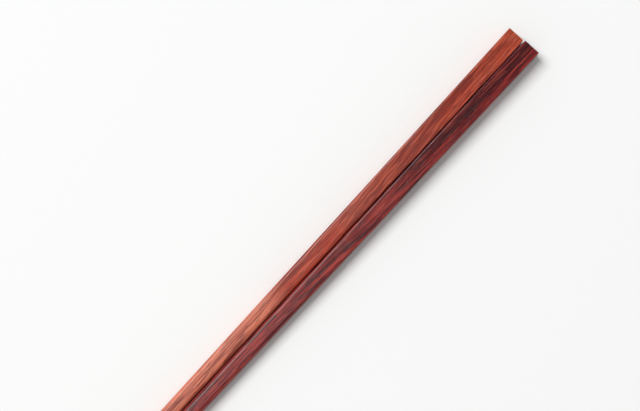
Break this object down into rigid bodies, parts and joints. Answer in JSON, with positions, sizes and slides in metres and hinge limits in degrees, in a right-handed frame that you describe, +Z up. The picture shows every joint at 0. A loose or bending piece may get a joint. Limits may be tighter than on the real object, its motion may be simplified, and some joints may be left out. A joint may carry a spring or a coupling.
{
  "type": "pair of wooden chopsticks",
  "caption": "Square hardwood chopsticks lying side by side, each tapering from a square head to a nearly round, blunt tip.",
  "frame": {"origin": "on the table, under the middle of the pair", "axes": "+Y along the sticks toward the heads, +X from the left stick to the right one, +Z up"},
  "size_m": [0.0142, 0.2404, 0.007],
  "materials": {
    "orange_red_hardwood": "satin",
    "maroon_hardwood": "satin"
  },
  "bodies": {
    "root": {"left_chopstick": "orange_red_hardwood", "right_chopstick": "maroon_hardwood"}
  },
  "joints": []
}
